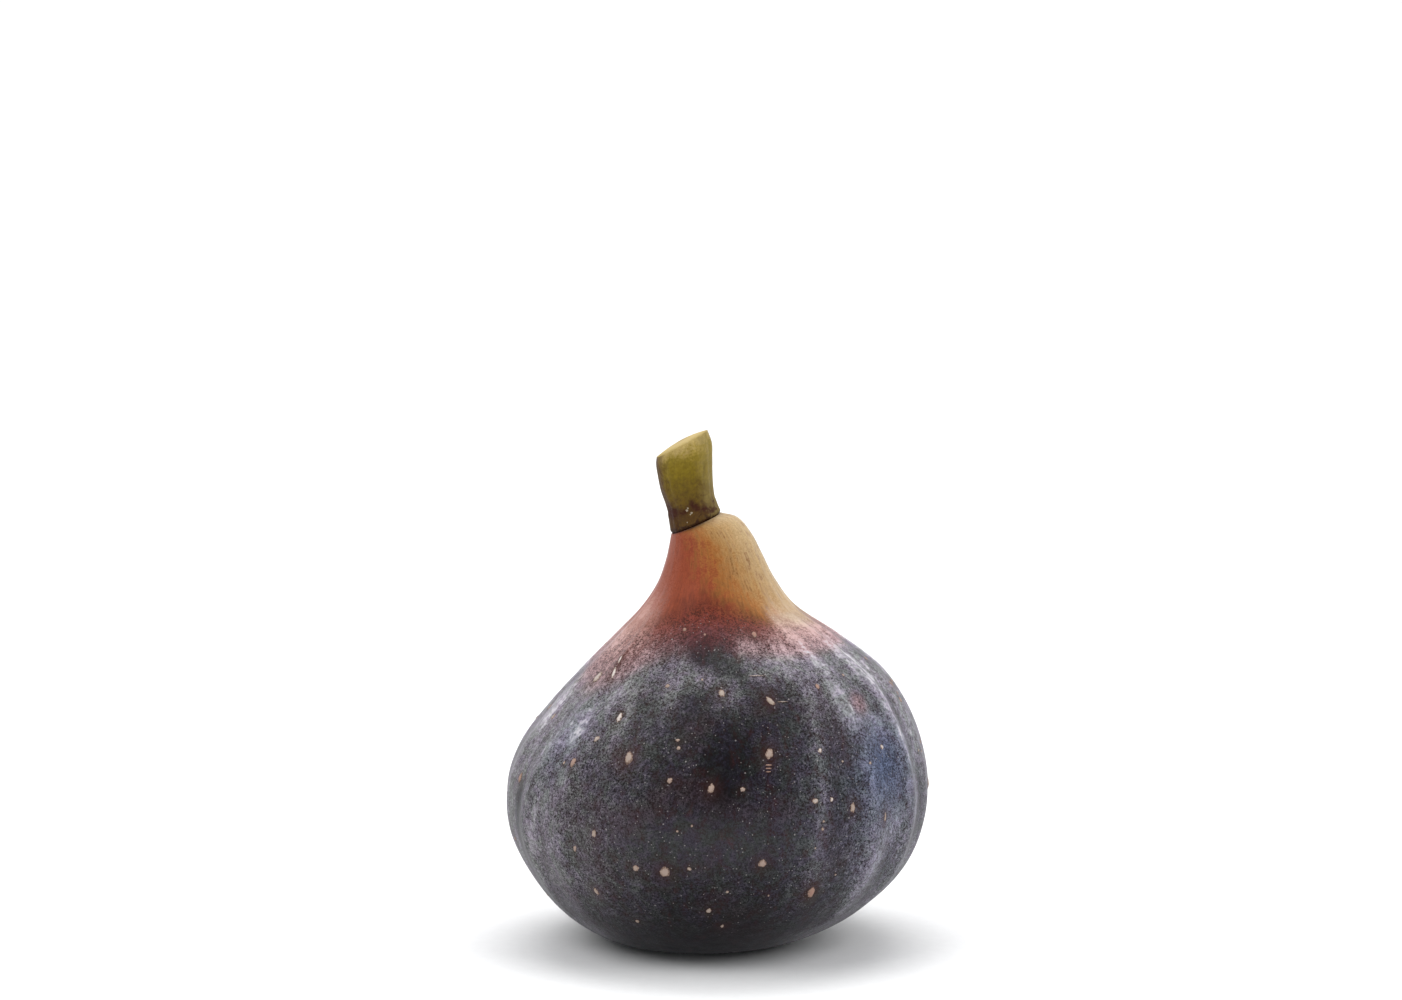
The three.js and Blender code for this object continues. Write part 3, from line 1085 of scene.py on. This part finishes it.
def lenticel_finish():
    """Cork that goes from dark at the rim to pale at the core, more rosy or whiter from mark to mark."""
    material, tree, shader = new_finish("lenticel_cork")
    place = millimetres(tree)
    core, rosy = stored(tree, "core"), stored(tree, "rosy")
    crumbs = noise(tree, place, 5.0, 3.0, 0.6)
    pale = blend(tree, rosy, rgb(162, 147, 136), rgb(152, 112, 98))
    pale = blend(tree, between(tree, rosy, 0.0, -1.0), pale, rgb(206, 196, 190))
    inside = varied(tree, "ADD", core, (crumbs, 0.3, 0.7, -0.22, 0.22))
    colour = colour_steps(tree, inside, [
        (0.02, rgb(58, 40, 36)),
        (0.20, rgb(108, 86, 76)),
        (0.42, rgb(148, 126, 110)),
    ])
    colour = blend(tree, between(tree, inside, 0.20, 0.62), colour, pale)
    set_shader(tree, shader, Base_Color=colour, Normal=bump(tree, crumbs, 0.06), Roughness=0.8)
    set_shader(tree, shader, Specular_IOR_Level=0.3)
    return material


def make_lenticels():
    """Domes whose lift falls with the square of the share out from the middle, and dips at the rim.

    The rim's radius is 1 plus small waves of two, three and five to the turn.
    """
    rng = np.random.default_rng(RIM_SEED)
    marks = LENTICELS[:, None, None, :]
    at_angle, at_distance, length, width, lean, rosy = (marks[..., part] for part in range(6))
    count = len(LENTICELS)
    turn = np.linspace(0, 2 * math.pi, LENTICEL_SIDES, endpoint=False)[None, None, :]
    out = LENTICEL_RINGS[None, :, None]
    wave_two, wave_three, wave_five = rng.uniform(0, 2 * math.pi, (3, count, 1, 1))
    rim = 1 + 0.07 * np.sin(2 * turn + wave_two) + 0.06 * np.sin(3 * turn + wave_three)
    rim = rim + 0.05 * np.sin(5 * turn + wave_five)
    across = 0.5 * width * out * rim * np.cos(turn)
    along = 0.5 * length * out * rim * np.sin(turn)
    tilt = np.radians(lean)
    east = across * np.cos(tilt) + along * np.sin(tilt)
    north = along * np.cos(tilt) - across * np.sin(tilt)
    degrees = east * 360 / (math.pi * girth_width(at_distance))
    angle, distance = at_angle + degrees, at_distance + north
    lift = LENTICEL_HEIGHT * np.minimum(1, width) * (1 - out ** 2) - LENTICEL_SUNK * out ** 2
    normals = surface_normals(fruit_surface, angle, distance, 0.2)
    rings = fruit_surface(angle, distance) + normals * lift[..., None]
    peak = np.minimum(1, LENTICELS[:, 3])[:, None]
    tops = fruit_surface(at_angle, at_distance)[:, 0, 0] + normals.mean(axis=(1, 2)) * LENTICEL_HEIGHT * peak
    points = np.concatenate([rings.reshape(count, -1, 3), tops[:, None]], axis=1)
    wall = ring_grid_faces(len(LENTICEL_RINGS), LENTICEL_SIDES)
    cap = fan_faces((len(LENTICEL_RINGS) - 1) * LENTICEL_SIDES, LENTICEL_SIDES, points.shape[1] - 1, True)
    faces = faces_of_copies(count, points.shape[1], wall, cap)
    piece = new_piece("lenticels", points, faces, "root", ["fruit"], [lenticel_finish()])
    core = np.concatenate([1 - np.repeat(LENTICEL_RINGS, LENTICEL_SIDES), [1.0]])
    full = 0.75 + 0.25 * np.minimum(1, LENTICELS[:, 2])
    set_values(piece, "core", full[:, None] * core)
    set_values(piece, "rosy", np.repeat(LENTICELS[:, 5], points.shape[1]))


make_lenticels()

# %% [markdown]
# ## The stalk
#
# The stub leans to the left, widens upwards and ends in a slanting cut. Near its foot are the dark
# scars of the three small bracts that once wrapped the young fig. The base follows the tilted seat on
# top of the neck, a hair into it, and its lower rim is drawn in so that a dark line shows where the two
# meet.

# %% The stalk's shape
STALK_ROWS = np.array([
    [-5.8, 52.2, -0.1, 54.1],
    [-6.2, 53.8, -0.4, 55.7],
    [-6.8, 55.6, -0.5, 57.6],
    [-7.2, 57.6, -0.5, 59.6],
    [-7.35, 58.7, -0.55, 61.3],
    [-7.3, 59.5, -1.1, 62.8],
])
STALK_DEPTH = 0.95
STALK_SIDES, STALK_RINGS = 120, 90
CUT_BULGE = 0.5
SCAR = 0.22  # share of the stalk's length at which the bract scars lie
# Scars and stains. Each row: angle, share of the length, half angle, half share, amount.
SCARS = np.array([
    [-52, 0.20, 24, 0.06, 1.2],
    [-64, 0.29, 14, 0.06, 0.7],
    [10, 0.20, 9, 0.045, 1.0],
    [3, 0.27, 7, 0.045, 0.7],
    [28, 0.15, 15, 0.035, 0.7],
    [-16, 0.18, 10, 0.035, 0.6],
    [66, 0.20, 8, 0.05, 0.4],
    [128, 0.22, 22, 0.045, 0.9],
    [158, 0.26, 14, 0.05, 0.6],
    [-115, 0.23, 16, 0.045, 0.7],
    [52, 0.09, 24, 0.045, 0.75],
    [54, 0.20, 26, 0.06, 0.25],
])


def scarring(angle, up):
    """The sum of the stains' bell curves over the bark, held between 0 and 1."""
    return np.clip(patches(angle, up, SCARS), 0, 1)


def stalk_surface(angle, up):
    """The bark's point at an angle in degrees and a share of the stalk's length from 0 to 1.

    Faint ridges run along it, the part below the scars swells by a hair, the scars themselves are
    sunk, and the last twentieth towards the seat is drawn in.
    """
    angle, up = np.broadcast_arrays(angle, up)
    outline = curve_through(np.vstack([FRUIT_ROWS[-1], STALK_ROWS]), up)
    turn = np.radians(angle)
    ridges = 0.03 * np.sin(13 * turn + 4 * up) + 0.02 * np.sin(21 * turn + 1.0)
    collar = 0.08 * (1 - smooth_step(up, SCAR - 0.04, SCAR + 0.02))
    drawn_in = -0.22 * (1 - smooth_step(up, 0.0, 0.04))
    lift = ridges + collar + drawn_in - 0.08 * scarring(angle, up)
    return ring_points(outline[..., :2], outline[..., 2:], angle, STALK_DEPTH, lift)


# %% [markdown]
# ## The stalk's finishes
#
# The bark is olive green, browner towards the joint and paler towards the cut, with fibres along it
# and dark red-brown scars. The cut face is pale wood with a darker rim. Both colours follow a number
# stored along the stalk, so they stay in place however the stalk leans, and noise roughens them.

# %% The stalk's finishes


def bark_finish():
    """Green that changes up the stalk, then brown blotches, sides, shade, scars and the dark joint."""
    material, tree, shader = new_finish("stalk_bark")
    place = millimetres(tree)
    up, side, scar = stored(tree, "up"), stored(tree, "side"), stored(tree, "scar")
    fibres = noise(tree, stretched(tree, place, 2.2, 2.2, 0.5), 1.0, 3.0, 0.6, 0.6)
    blotches = noise(tree, place, 0.55, 4.0, 0.65, 0.8)
    pores = noise(tree, place, 3.2, 3.0, 0.6)
    height = varied(tree, "ADD", up, (blotches, 0.3, 0.7, -0.10, 0.10), (pores, 0.3, 0.7, -0.04, 0.04))
    green = colour_steps(tree, height, [
        (0.00, rgb(60, 36, 12)),
        (0.07, rgb(82, 58, 20)),
        (0.16, rgb(74, 50, 20)),
        (0.26, rgb(82, 60, 20)),
        (0.42, rgb(98, 78, 20)),
        (0.62, rgb(118, 99, 20)),
        (0.76, rgb(128, 109, 34)),
        (0.86, rgb(147, 126, 58)),
        (0.95, rgb(163, 141, 82)),
        (1.00, rgb(172, 150, 92)),
    ])
    brown = blend(tree, between(tree, blotches, 0.52, 0.72, 0.0, 0.45), green, rgb(98, 68, 24))
    turned = varied(tree, "ADD", side, (blotches, 0.3, 0.7, -0.12, 0.12))
    colour = blend(tree, between(tree, turned, -0.56, -0.94, 0.0, 0.85), brown, rgb(70, 44, 16))
    colour = blend(tree, between(tree, turned, 0.35, 0.90, 0.0, 0.55), colour, rgb(138, 122, 70))
    swing = sums(tree, "ADD", sums(tree, "MULTIPLY", pores, 0.45), sums(tree, "MULTIPLY", fibres, 0.55))
    shade = between(tree, swing, 0.35, 0.65, 0.86, 1.14)
    colour = blend(tree, 1.0, colour, shade, "MULTIPLY")
    stain = varied(tree, "MULTIPLY", scar, (pores, 0.30, 0.62, 0.45, 1.25))
    colour = blend(tree, between(tree, stain, 0.05, 0.85, 0.0, 0.9), colour, rgb(54, 17, 8))
    joint = varied(tree, "ADD", up, (blotches, 0.3, 0.7, -0.02, 0.02), (pores, 0.3, 0.7, -0.012, 0.012))
    colour = blend(tree, between(tree, joint, 0.012, 0.055, 0.9, 0.0), colour, rgb(46, 20, 4))
    relief = bump(tree, blotches, 0.30, 0.5)
    relief = bump(tree, fibres, 0.10, 0.7, relief)
    relief = bump(tree, pores, 0.08, 0.8, relief)
    set_shader(tree, shader, Base_Color=colour, Normal=relief, Specular_IOR_Level=0.14)
    set_shader(tree, shader, Roughness=between(tree, pores, 0.3, 0.7, 0.50, 0.68))
    return material


def cut_finish():
    """Pale wood whose colour changes with the share out from the middle, roughened by fibres."""
    material, tree, shader = new_finish("stalk_cut_wood")
    place = millimetres(tree)
    out = stored(tree, "out")
    fibres = noise(tree, place, 4.5, 3.0, 0.65)
    reach = varied(tree, "ADD", out, (fibres, 0.3, 0.7, -0.08, 0.08))
    colour = colour_steps(tree, reach, [
        (0.10, rgb(150, 126, 82)),
        (0.30, rgb(184, 162, 112)),
        (0.62, rgb(190, 168, 116)),
        (0.84, rgb(180, 158, 100)),
        (0.97, rgb(160, 138, 80)),
    ])
    set_shader(tree, shader, Base_Color=colour, Normal=bump(tree, fibres, 0.12), Roughness=0.75)
    set_shader(tree, shader, Specular_IOR_Level=0.14)
    return material


# %% Build the stalk
CUT_SHARES = np.array([0.975, 0.92, 0.8, 0.64, 0.46, 0.28, 0.12])  # the cut's rings, as shares of its rim


def make_stalk():
    """Rings of bark, then rings of the cut, which bulges by 1 less the square of the share out."""
    angle = np.arange(STALK_SIDES) * 360 / STALK_SIDES
    up = np.linspace(0, 1, STALK_RINGS)
    bark = stalk_surface(angle[None, :], up[:, None])
    rim = bark[-1]
    middle = rim.mean(axis=0)
    bulge = np.array([0.0, 0.0, CUT_BULGE])
    cut = middle + (rim - middle) * CUT_SHARES[:, None, None] + bulge * (1 - CUT_SHARES ** 2)[:, None, None]
    rings = np.concatenate([bark, cut])
    poles = [bark[0].mean(axis=0), middle + bulge]
    points = np.concatenate([rings.reshape(-1, 3), poles])
    wall, base, top = tube_parts(len(rings), STALK_SIDES)
    faces = faces_of_copies(1, len(points), wall, top, base)
    bark_faces = (STALK_RINGS - 1) * STALK_SIDES
    finishes = [bark_finish(), cut_finish()]
    piece = new_piece("stalk_stub", points, faces, "root", ["stalk"], finishes)
    index = np.zeros(len(faces), dtype=np.int32)
    index[bark_faces:len(wall) + len(top)] = 1
    piece.data.polygons.foreach_set("material_index", index)
    inner = len(CUT_SHARES) * STALK_SIDES
    out = np.repeat(CUT_SHARES, STALK_SIDES)
    scar = scarring(angle[None, :], up[:, None]).ravel()
    side = np.sin(np.radians(angle))
    set_values(piece, "up", np.concatenate([np.repeat(up, STALK_SIDES), np.ones(inner), [0, 1]]))
    set_values(piece, "out", np.concatenate([np.ones(bark.size // 3), out, [1, 0]]))
    set_values(piece, "side", np.concatenate([np.tile(side, len(rings)), [0, 0]]))
    set_values(piece, "scar", np.concatenate([scar, np.zeros(inner + 2)]))


make_stalk()

# %% [markdown]
# ## Beads of dried latex
#
# A cut or bruised fig stalk bleeds white latex, which dries to small beads on the scars. Each bead is
# a ball squashed against the bark: its points are a unit sphere's, scaled to the bead's radius and to
# less along the bark's normal, and set on the bark's surface.

# %% Build the beads
# Each row: angle, share of the stalk's length, radius in mm.
BEADS = np.array([
    [-11.5, 0.195, 0.15],
    [-8.5, 0.218, 0.10],
    [-2.0, 0.152, 0.14],
    [-5.5, 0.140, 0.08],
    [-16.5, 0.070, 0.08],
    [140.0, 0.200, 0.14],
])
BEAD_SIDES, BEAD_RINGS = 16, 10
BEAD_SQUASH = 0.6


def latex_finish():
    """A yellowish crust, mottled by one noise."""
    material, tree, shader = new_finish("dried_latex")
    place = millimetres(tree)
    crust = noise(tree, place, 6.0, 3.0, 0.6)
    colour = blend(tree, between(tree, crust, 0.35, 0.65), rgb(126, 110, 90), rgb(178, 166, 142))
    set_shader(tree, shader, Base_Color=colour, Normal=bump(tree, crust, 0.05), Roughness=0.5)
    return material


def make_beads():
    """Unit spheres, each with a slight three-sided wave, scaled and set on the bark."""
    angle, up, radius = BEADS[:, 0], BEADS[:, 1], BEADS[:, 2]
    centre = stalk_surface(angle, up)
    out = surface_normals(stalk_surface, angle, up, 0.01)
    east = np.cross(np.array([0.0, 0.0, 1.0]), out)
    east /= np.linalg.norm(east, axis=-1, keepdims=True)
    north = np.cross(out, east)
    turn = np.linspace(0, 2 * math.pi, BEAD_SIDES, endpoint=False)[None, None, :, None]
    fall = np.linspace(0, math.pi, BEAD_RINGS + 2)[1:-1][::-1][None, :, None, None]
    size = radius[:, None, None, None]
    out, east, north = (part[:, None, None, :] for part in (out, east, north))
    level = np.sin(fall) * (1 + 0.12 * np.sin(3 * turn))
    ball = level * (np.cos(turn) * east + np.sin(turn) * north) + BEAD_SQUASH * np.cos(fall) * out
    rings = centre[:, None, None, :] + size * ball
    tops = centre + radius[:, None] * BEAD_SQUASH * out[:, 0, 0]
    bottoms = centre - radius[:, None] * BEAD_SQUASH * out[:, 0, 0]
    count = len(BEADS)
    points = np.concatenate([rings.reshape(count, -1, 3), bottoms[:, None], tops[:, None]], axis=1)
    faces = faces_of_copies(count, points.shape[1], *tube_parts(BEAD_RINGS, BEAD_SIDES))
    new_piece("latex_beads", points, faces, "root", ["stalk"], [latex_finish()])


make_beads()

# %% [markdown]
# ## The eye
#
# Underneath, in the middle of the foot, is the eye: a small hollow closed by overlapping scales that
# point to its centre. Each scale is a flattened tube that tapers to a point, laid on an arch from the
# hollow's wall inwards. Two rings of them are turned against each other, as on a bud.

# %% Build the eye's scales
SCALE_SIDES, SCALE_RINGS = 12, 10
SCALE_ARCH, SCALE_CUP = 0.12, 0.15  # how far its middle dips and its edges rise, in millimetres
# Each ring of scales: how many, first turn, radius at the base and the tip, height at both, and width.
OUTER_SCALES = (9, 0.0, 2.0, 0.35, 0.50, 0.36, 1.3)
INNER_SCALES = (6, 0.4, 1.5, 0.08, 0.62, 0.40, 1.2)


def scale_finish():
    """Brown-red at the base, drier and paler at the tip, roughened by fibres."""
    material, tree, shader = new_finish("eye_scales")
    place = millimetres(tree)
    tip = stored(tree, "tip")
    fibres = noise(tree, place, 3.5, 3.0, 0.6)
    worn = varied(tree, "ADD", tip, (fibres, 0.3, 0.7, -0.15, 0.15))
    colour = colour_steps(tree, worn, [
        (0.1, rgb(72, 34, 34)),
        (0.5, rgb(126, 62, 46)),
        (0.9, rgb(150, 104, 64)),
    ])
    set_shader(tree, shader, Base_Color=colour, Normal=bump(tree, fibres, 0.08), Roughness=0.6)
    return material


def scale_ring(count, start_turn, base_radius, tip_radius, base_height, tip_height, width):
    """Scales spaced evenly on a circle. Along each, the radius shrinks and the height follows an arch.

    A cross-section is an ellipse whose width falls to nothing at the tip as the square root of what
    is left, and whose thickness is a sixth of the width. Turns, widths, tips and heights vary a little.
    """
    rng = np.random.default_rng(count)
    sway, spread, reach, rise = rng.uniform(-1, 1, (4, count, 1, 1))
    turn = (np.arange(count) * 2 * math.pi / count + start_turn)[:, None, None] + 0.07 * sway
    width = width * (1 + 0.14 * spread)
    tip_radius = tip_radius * (1 + 0.5 * reach)
    base_height, tip_height = base_height + 0.05 * rise, tip_height + 0.09 * rise
    along = np.linspace(0.02, 0.98, SCALE_RINGS)[None, :, None]
    round_turn = np.linspace(0, 2 * math.pi, SCALE_SIDES, endpoint=False)[None, None, :]
    half = 0.5 * width * np.sqrt(1 - along) * (0.7 + 0.3 * np.sin(math.pi * along))
    radius = base_radius + (tip_radius - base_radius) * along
    height = base_height + (tip_height - base_height) * along - SCALE_ARCH * np.sin(math.pi * along)
    sideways = half * np.cos(round_turn)
    height = height + half / 6 * np.sin(round_turn) + SCALE_CUP * (sideways / half.max()) ** 2
    height = height + 0.10 * sway * sideways / half.max()
    x = FOOT_CENTRE + radius * np.cos(turn) - sideways * np.sin(turn)
    y = radius * np.sin(turn) + sideways * np.cos(turn)
    return np.stack(np.broadcast_arrays(x, y, height), axis=-1)


def make_scales():
    """Both rings of scales as closed tubes, each with a pole at its base and one at its tip."""
    rings = np.concatenate([scale_ring(*OUTER_SCALES), scale_ring(*INNER_SCALES)])
    count = len(rings)
    poles = rings[:, [0, -1]].mean(axis=2)
    points = np.concatenate([rings.reshape(count, -1, 3), poles], axis=1)
    faces = faces_of_copies(count, points.shape[1], *tube_parts(SCALE_RINGS, SCALE_SIDES, outward=False))
    piece = new_piece("eye_scales", points, faces, "root", ["fruit"], [scale_finish()])
    along = np.concatenate([np.repeat(np.linspace(0, 1, SCALE_RINGS), SCALE_SIDES), [0.0, 1.0]])
    set_values(piece, "tip", np.tile(along, count))


make_scales()

# %% [markdown]
# ## Floor, backdrop and light
#
# A pale sweep carries the fig: a flat floor that curves up behind it, so no horizon shows. Three large
# soft lamps round the fig, one on the backdrop and a pale sky give the even light of a product table,
# a little stronger from above.

# %% Floor and light
# The sweep, in millimetres: its front edge, where it starts to curve, and the curve's radius.
SWEEP_FRONT, SWEEP_BACK, SWEEP_RADIUS = -1500.0, 900.0, 500.0
SWEEP_HEIGHT, SWEEP_HALF_WIDTH = 1500.0, 2000.0
FIG_MIDDLE = (0.0, 0.0, 0.03)
# Each lamp, in metres and watts: name, place, aim, size, power.
LAMPS = (
    ("key", (-0.55, -0.30, 0.70), FIG_MIDDLE, 0.6, 3.4),
    ("fill", (0.65, -0.25, 0.55), FIG_MIDDLE, 0.6, 3.4),
    ("top", (0.0, 0.25, 0.9), FIG_MIDDLE, 0.8, 4.0),
    ("backdrop", (0.0, 0.35, 1.2), (0.0, 1.4, 0.5), 0.9, 10.0),
)
SKY_COLOUR, SKY_STRENGTH = (0.95, 0.97, 1.0, 1.0), 0.45


def floor_finish():
    """Matt paper in two near-whites."""
    material, tree, shader = new_finish("pale_sweep")
    place = millimetres(tree)
    tooth = noise(tree, place, 0.8, 2.0)
    colour = blend(tree, tooth, rgb(240, 240, 240), rgb(246, 246, 246))
    set_shader(tree, shader, Base_Color=colour, Roughness=0.9, Specular_IOR_Level=0.1)
    return material


def make_sweep():
    """A floor that turns up behind the fig in a quarter circle and rises as a wall."""
    turn = np.linspace(0, math.pi / 2, 24)
    curve_end = SWEEP_BACK + SWEEP_RADIUS
    y = np.concatenate([[SWEEP_FRONT, 0.0], SWEEP_BACK + SWEEP_RADIUS * np.sin(turn), [curve_end]])
    z = np.concatenate([[0.0, 0.0], SWEEP_RADIUS * (1 - np.cos(turn)), [SWEEP_HEIGHT]])
    sides = np.array([-SWEEP_HALF_WIDTH, SWEEP_HALF_WIDTH])[None, :]
    grid = np.stack(np.broadcast_arrays(sides, y[:, None], z[:, None]), axis=-1)
    faces = (np.arange(len(y) - 1)[:, None] * 2 + np.array([[0, 1, 3, 2]])).tolist()
    smooth_mesh("sweep", grid, faces, [floor_finish()])


def add_lamp(name, place, aim, size, power):
    """A square area lamp at a place in metres, turned towards its aim."""
    data = bpy.data.lights.new(name, "AREA")
    data.shape = "SQUARE"
    data.size = size
    data.energy = power
    lamp = add_to_scene(name, data)
    back = np.array(place) - np.array(aim)
    level = math.hypot(back[0], back[1])
    lamp.rotation_euler = (math.atan2(level, back[2]), 0.0, math.atan2(back[1], back[0]) + math.pi / 2)
    lamp.location = place


def make_light():
    """The lamps and the sky. The Standard view keeps colours as they are written."""
    for lamp in LAMPS:
        add_lamp(*lamp)
    world = bpy.data.worlds.new("soft_sky")
    world.use_nodes = True
    background = next(node for node in world.node_tree.nodes if node.type == "BACKGROUND")
    background.inputs["Color"].default_value = SKY_COLOUR
    background.inputs["Strength"].default_value = SKY_STRENGTH
    scene.world = world
    scene.view_settings.view_transform = "Standard"


make_sweep()
make_light()
